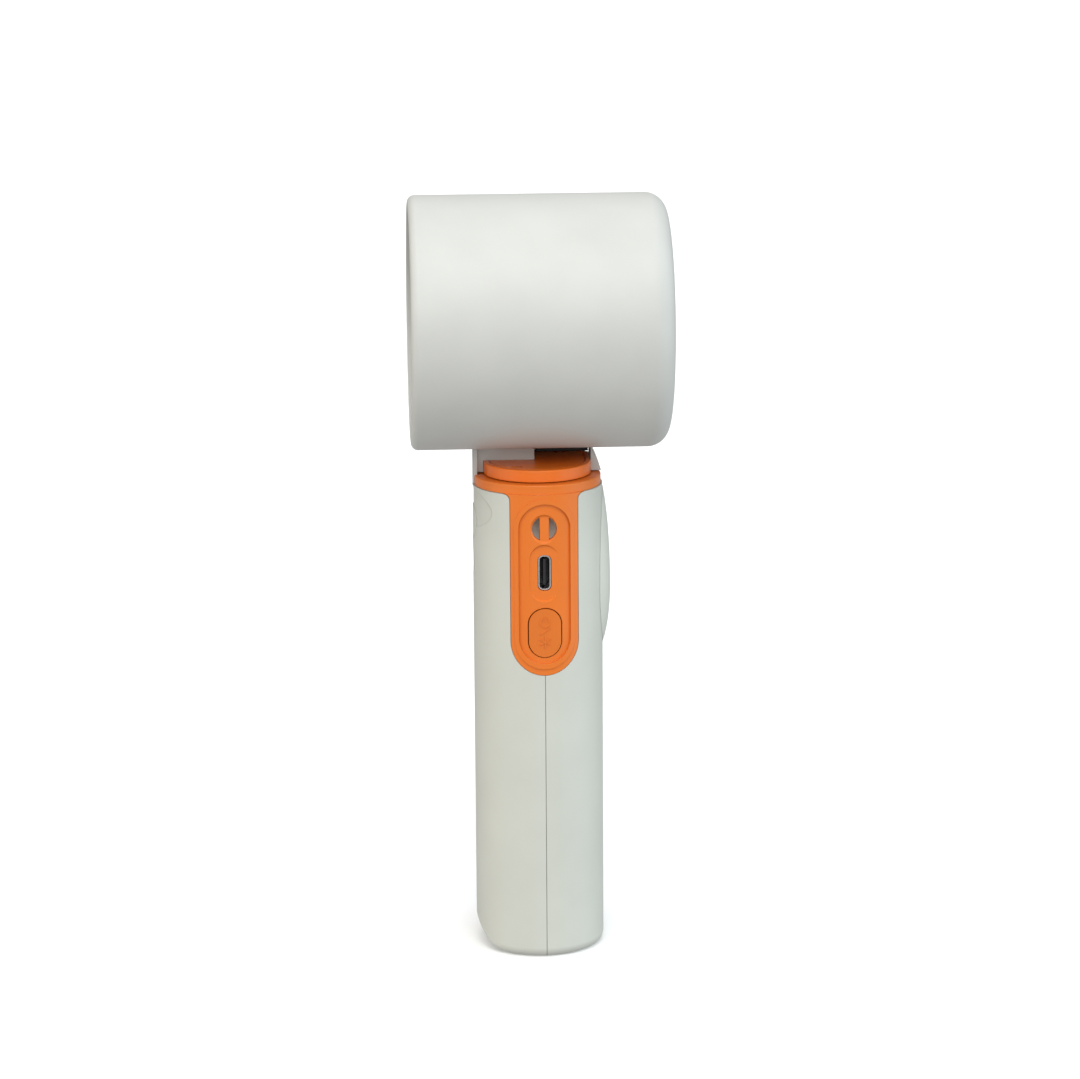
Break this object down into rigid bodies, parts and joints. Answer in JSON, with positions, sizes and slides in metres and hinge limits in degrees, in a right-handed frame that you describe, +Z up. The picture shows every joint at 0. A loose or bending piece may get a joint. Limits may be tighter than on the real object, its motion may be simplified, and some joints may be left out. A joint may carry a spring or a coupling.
{
  "type": "handheld turbo fan",
  "caption": "Handheld turbo fan: a drum-shaped head with outlet and intake grilles on a slim round handle, with a stepped swivel neck, side panel with socket and button.",
  "frame": {"origin": "middle of the handle's foot, on the surface that the fan stands on", "axes": "+Z up along the handle; the fan blows towards -X, its intake faces +X; the side panel with socket and button faces -Y"},
  "size_m": [0.0651, 0.064, 0.1951],
  "materials": {
    "white_plastic": "fine satin moulded plastic, warm off-white",
    "orange_plastic": "satin moulded plastic, orange",
    "grey_plastic": "satin moulded plastic, mid grey",
    "dark_plastic": "black moulded plastic",
    "smoked_lens": "smoked translucent window",
    "steel": "plain bright steel",
    "zinc_screw": "zinc plated screws",
    "aluminium": "turned aluminium",
    "board_green": "solder mask on fibreglass board",
    "chip_black": "moulded chip packages",
    "copper": "enamelled copper winding",
    "cell_wrap": "shrink sleeve on the cell",
    "nickel": "nickel strip",
    "foam": "closed-cell foam",
    "magnet": "bonded magnet"
  },
  "bodies": {
    "handle": {"front_shell": "white_plastic", "rear_shell": "white_plastic", "finger_rest": "white_plastic", "handle_screws": "zinc_screw", "neck_cap": "orange_plastic", "lanyard_cup": "white_plastic", "usb_c_shell": "steel", "usb_c_tongue": "dark_plastic", "main_board": "board_green", "board_chips": "chip_black", "power_switch": "dark_plastic", "front_board": "board_green", "speed_switch": "dark_plastic", "indicator_lens": "smoked_lens", "battery_cell": "cell_wrap", "battery_cradle": "grey_plastic", "cell_tabs": "nickel", "battery_pads": "foam", "swivel_bush": "dark_plastic", "thrust_washer": "steel", "stop_pin": "steel"},
    "head": {"swivel_disc": "orange_plastic", "swivel_spindle": "aluminium", "retaining_ring": "steel", "disc_screws": "zinc_screw", "neck_block": "white_plastic", "neck_wire_cover": "dark_plastic", "head_housing": "white_plastic", "neck_screws": "zinc_screw", "outlet_bezel": "white_plastic", "outlet_grille": "grey_plastic", "rear_grille": "white_plastic", "inner_duct": "dark_plastic", "duct_seals": "foam", "vane_ring": "grey_plastic", "tail_cone": "grey_plastic", "bearing_tube": "aluminium", "motor_bearings": "steel", "motor_board": "board_green", "stator_core": "steel", "stator_windings": "copper", "motor_screws": "zinc_screw"},
    "fan_rotor": {"motor_shaft": "steel", "rotor_bell": "aluminium", "rotor_magnets": "magnet", "impeller": "dark_plastic", "spinner": "grey_plastic"},
    "power_key": {"power_button": "orange_plastic", "power_plunger": "dark_plastic"},
    "speed_key": {"speed_button": "white_plastic", "speed_plunger": "dark_plastic"}
  },
  "joints": [
    {"name": "head_swivel", "type": "hinge", "parent": "handle", "child": "head", "pos_m": [0, 0, 0.1243], "axis": [0, 0, 1], "range_deg": [-90, 0]},
    {"name": "fan_spin", "type": "hinge", "parent": "head", "child": "fan_rotor", "pos_m": [0, 0, 0.163], "axis": [1, 0, 0], "continuous": true},
    {"name": "power_press", "type": "slide", "parent": "handle", "child": "power_key", "axis": [0, 1, 0], "range_m": [0, 0.0005], "stiffness_N_per_m": 600},
    {"name": "speed_press", "type": "slide", "parent": "handle", "child": "speed_key", "axis": [1, 0, 0], "range_m": [0, 0.0005], "stiffness_N_per_m": 600}
  ]
}
